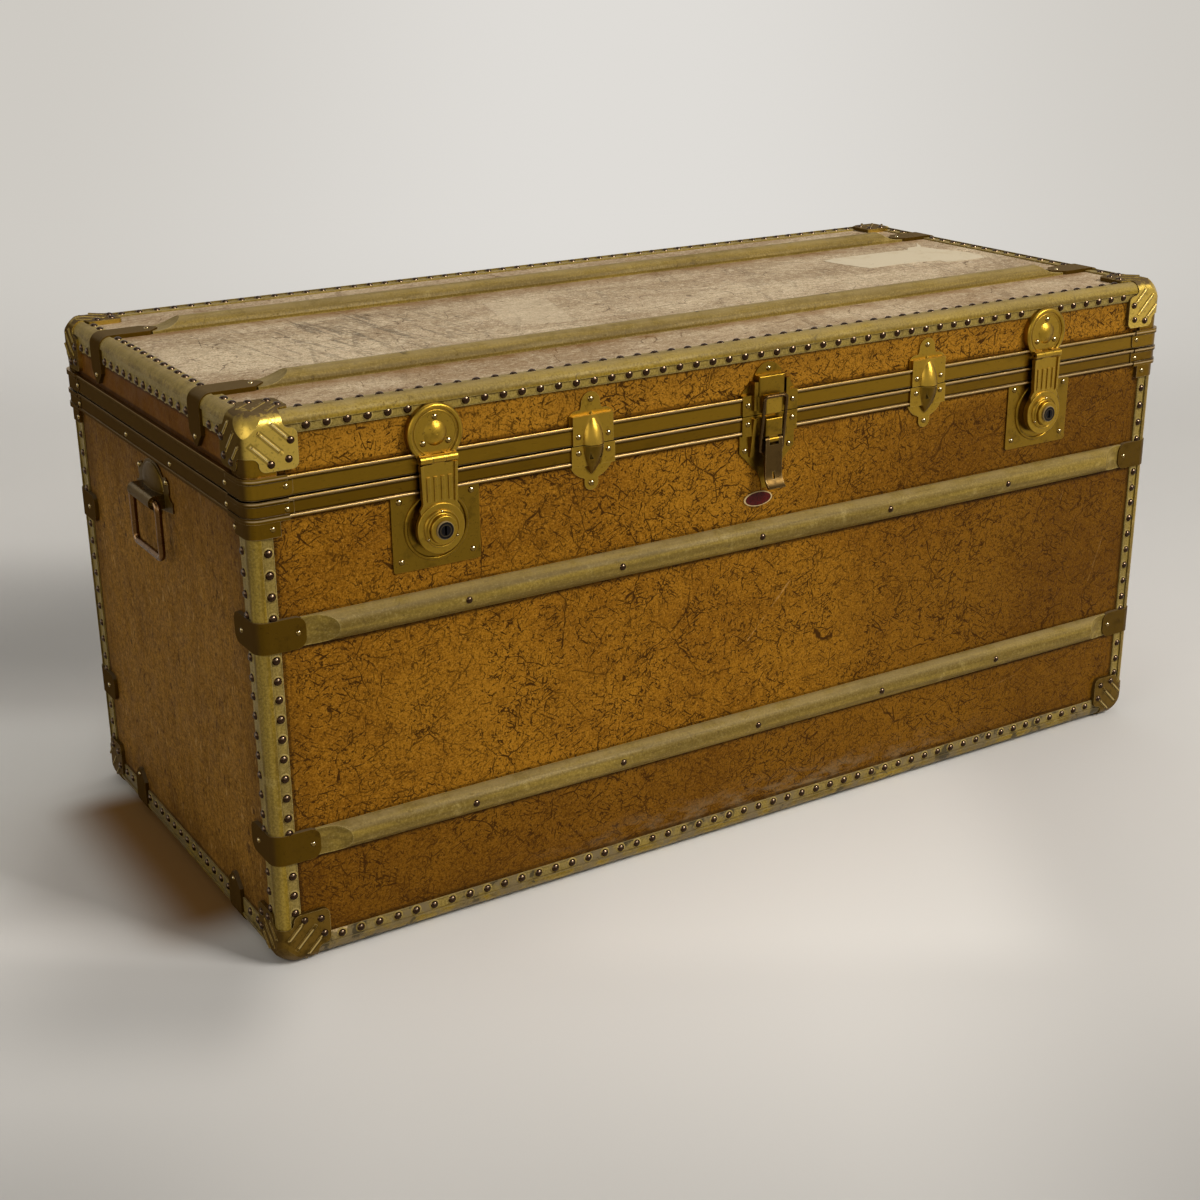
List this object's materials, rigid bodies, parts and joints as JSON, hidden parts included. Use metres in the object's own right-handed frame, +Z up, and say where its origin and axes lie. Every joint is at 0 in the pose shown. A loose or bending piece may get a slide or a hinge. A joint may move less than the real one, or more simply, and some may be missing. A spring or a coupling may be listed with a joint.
{
  "type": "travel trunk",
  "caption": "Antique slatted travel trunk in amber fibreboard with fibre bindings and stamped brass locks, centre draw latch, dowels, corner caps, hinged lid and end handles.",
  "frame": {"origin": "bottom centre of the bounding box, on the floor under the middle of the trunk", "axes": "+X runs along the front towards the right lock, the front with its locks faces -Y, +Z is up; at rest the lid is shut"},
  "size_m": [1.0428, 0.4925, 0.498],
  "materials": {
    "case_wood": "bare, aged",
    "cover_fibreboard": "lacquered fibreboard, mottled amber, worn",
    "lining_paper": "plain matt lining",
    "binding_fibre": "painted vulcanised fibre, olive cream, worn",
    "slat_wood": "old khaki paint, worn",
    "band_steel": "brass plated steel, dull",
    "strap_steel": "dark oxidised",
    "stamped_brass": "antique, dark in the recesses",
    "dark_steel": "dark, worn",
    "handle_wire": "brown patina, satin",
    "badge_enamel": "enamelled, plain"
  },
  "bodies": {
    "body": {"body_back_board": "case_wood", "body_back_slats": "slat_wood", "body_band": "band_steel", "body_band_clamps": "stamped_brass", "body_bottom_bindings": "binding_fibre", "body_bottom_board": "case_wood", "body_bottom_slats": "slat_wood", "body_bottom_straps": "strap_steel", "body_corner_caps": "stamped_brass", "body_cover_sheets": "cover_fibreboard", "body_front_board": "case_wood", "body_front_slats": "slat_wood", "body_left_board": "case_wood", "body_lining_sheets": "lining_paper", "body_locating_rim": "slat_wood", "body_right_board": "case_wood", "body_slat_straps": "strap_steel", "body_upright_bindings": "binding_fibre", "hinge_body_leaves": "strap_steel", "hinge_pins": "dark_steel", "latch_base_plate": "stamped_brass", "latch_lever_bracket": "stamped_brass", "latch_lever_pin": "dark_steel", "left_dowel_socket": "stamped_brass", "left_handle_plate": "stamped_brass", "left_lock_plate": "stamped_brass", "oval_badge": "badge_enamel", "right_dowel_socket": "stamped_brass", "right_handle_plate": "stamped_brass", "right_lock_plate": "stamped_brass"},
    "lid": {"lid_back_board": "case_wood", "lid_band": "band_steel", "lid_band_clamps": "stamped_brass", "lid_corner_caps": "stamped_brass", "lid_cover_sheets": "cover_fibreboard", "lid_front_board": "case_wood", "lid_left_board": "case_wood", "lid_lining_sheets": "lining_paper", "lid_right_board": "case_wood", "lid_slat_straps": "strap_steel", "lid_slats": "slat_wood", "lid_top_bindings": "binding_fibre", "lid_top_board": "case_wood", "left_strike_disc": "stamped_brass", "right_strike_disc": "stamped_brass", "hasp_pins": "dark_steel", "left_dowel_tongue": "stamped_brass", "right_dowel_tongue": "stamped_brass", "latch_catch_plate": "stamped_brass", "latch_catch_lug": "stamped_brass", "hinge_lid_leaves": "strap_steel"},
    "left_hasp_arm": {"left_hasp": "stamped_brass"},
    "right_hasp_arm": {"right_hasp": "stamped_brass"},
    "left_key_barrel": {"left_key_plug": "dark_steel"},
    "right_key_barrel": {"right_key_plug": "dark_steel"},
    "draw_latch_lever": {"latch_lever": "stamped_brass"},
    "draw_latch_bail": {"latch_bail": "dark_steel"},
    "left_end_handle": {"left_handle_bail": "handle_wire"},
    "right_end_handle": {"right_handle_bail": "handle_wire"}
  },
  "joints": [
    {"name": "lid_hinge", "type": "hinge", "parent": "body", "child": "lid", "pos_m": [0, 0.239, 0.421], "axis": [-1, 0, 0], "range_deg": [0, 100]},
    {"name": "left_hasp_hinge", "type": "hinge", "parent": "lid", "child": "left_hasp_arm", "pos_m": [-0.342, -0.239, 0.433], "axis": [-1, 0, 0], "range_deg": [0, 110]},
    {"name": "right_hasp_hinge", "type": "hinge", "parent": "lid", "child": "right_hasp_arm", "pos_m": [0.342, -0.239, 0.433], "axis": [-1, 0, 0], "range_deg": [0, 110]},
    {"name": "left_key_turn", "type": "hinge", "parent": "left_hasp_arm", "child": "left_key_barrel", "pos_m": [-0.342, -0.2405, 0.373], "axis": [0, -1, 0], "range_deg": [0, 90]},
    {"name": "right_key_turn", "type": "hinge", "parent": "right_hasp_arm", "child": "right_key_barrel", "pos_m": [0.342, -0.2405, 0.373], "axis": [0, -1, 0], "range_deg": [0, 90]},
    {"name": "latch_lever_hinge", "type": "hinge", "parent": "body", "child": "draw_latch_lever", "pos_m": [0, -0.2395, 0.397], "axis": [-1, 0, 0], "range_deg": [0, 100]},
    {"name": "latch_bail_pivot", "type": "hinge", "parent": "draw_latch_lever", "child": "draw_latch_bail", "pos_m": [0, -0.2375, 0.386], "axis": [-1, 0, 0], "range_deg": [-125, 0]},
    {"name": "left_handle_swing", "type": "hinge", "parent": "body", "child": "left_end_handle", "pos_m": [-0.515, 0, 0.369], "axis": [0, 1, 0], "range_deg": [0, 100]},
    {"name": "right_handle_swing", "type": "hinge", "parent": "body", "child": "right_end_handle", "pos_m": [0.515, 0, 0.369], "axis": [0, -1, 0], "range_deg": [0, 100]}
  ],
  "couplings": [
    {"joint": "latch_bail_pivot", "follows": "latch_lever_hinge", "ratio": -1.2}
  ]
}
